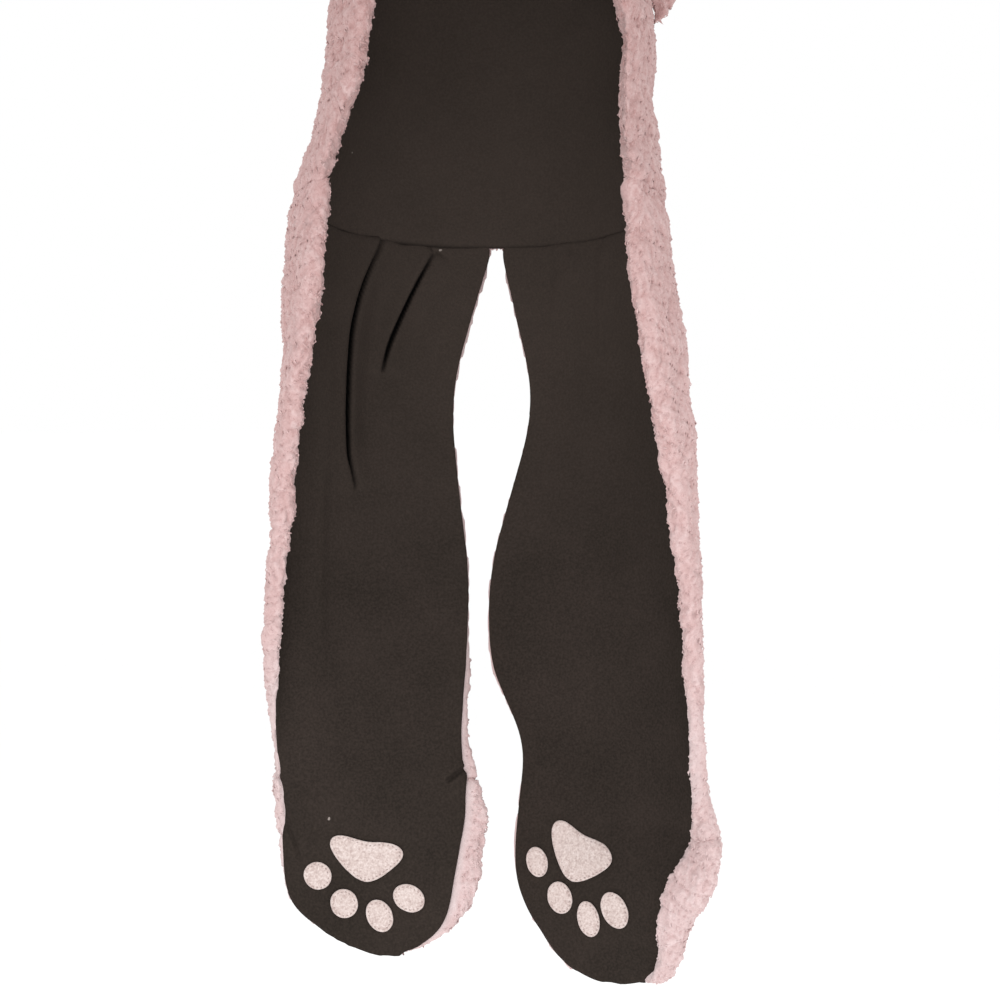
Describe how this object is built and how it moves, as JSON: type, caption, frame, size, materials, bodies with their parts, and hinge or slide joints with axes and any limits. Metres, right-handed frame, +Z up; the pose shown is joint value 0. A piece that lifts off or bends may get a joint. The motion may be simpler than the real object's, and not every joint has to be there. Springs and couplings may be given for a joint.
{
  "type": "animal hood scarf",
  "caption": "Plush animal hood with small round ears and long scarf arms that end in padded paws, lined with smooth dark fleece.",
  "frame": {"origin": "inside of the crown, where the hood rests on the top of the wearer's head", "axes": "+Z up along the head and the hanging arms, front towards -Y, +X towards the wearer's left"},
  "size_m": [0.3014, 0.1915, 0.7213],
  "materials": {
    "plush": "short curly polyester plush, matt",
    "fleece": "smooth brushed polyester fleece, matt",
    "felt": "soft mottled felt, matt"
  },
  "bodies": {
    "root": {"hood_fur": "plush", "hood_lining": "fleece", "left_arm_fur": "plush", "left_arm_lining": "fleece", "left_paw_fur": "plush", "left_ear": "plush", "left_palm_pad": "felt", "left_toe_pad_1": "felt", "left_toe_pad_2": "felt", "left_toe_pad_3": "felt", "left_toe_pad_4": "felt", "right_arm_fur": "plush", "right_arm_lining": "fleece", "right_paw_fur": "plush", "right_ear": "plush", "right_palm_pad": "felt", "right_toe_pad_1": "felt", "right_toe_pad_2": "felt", "right_toe_pad_3": "felt", "right_toe_pad_4": "felt"}
  },
  "joints": []
}
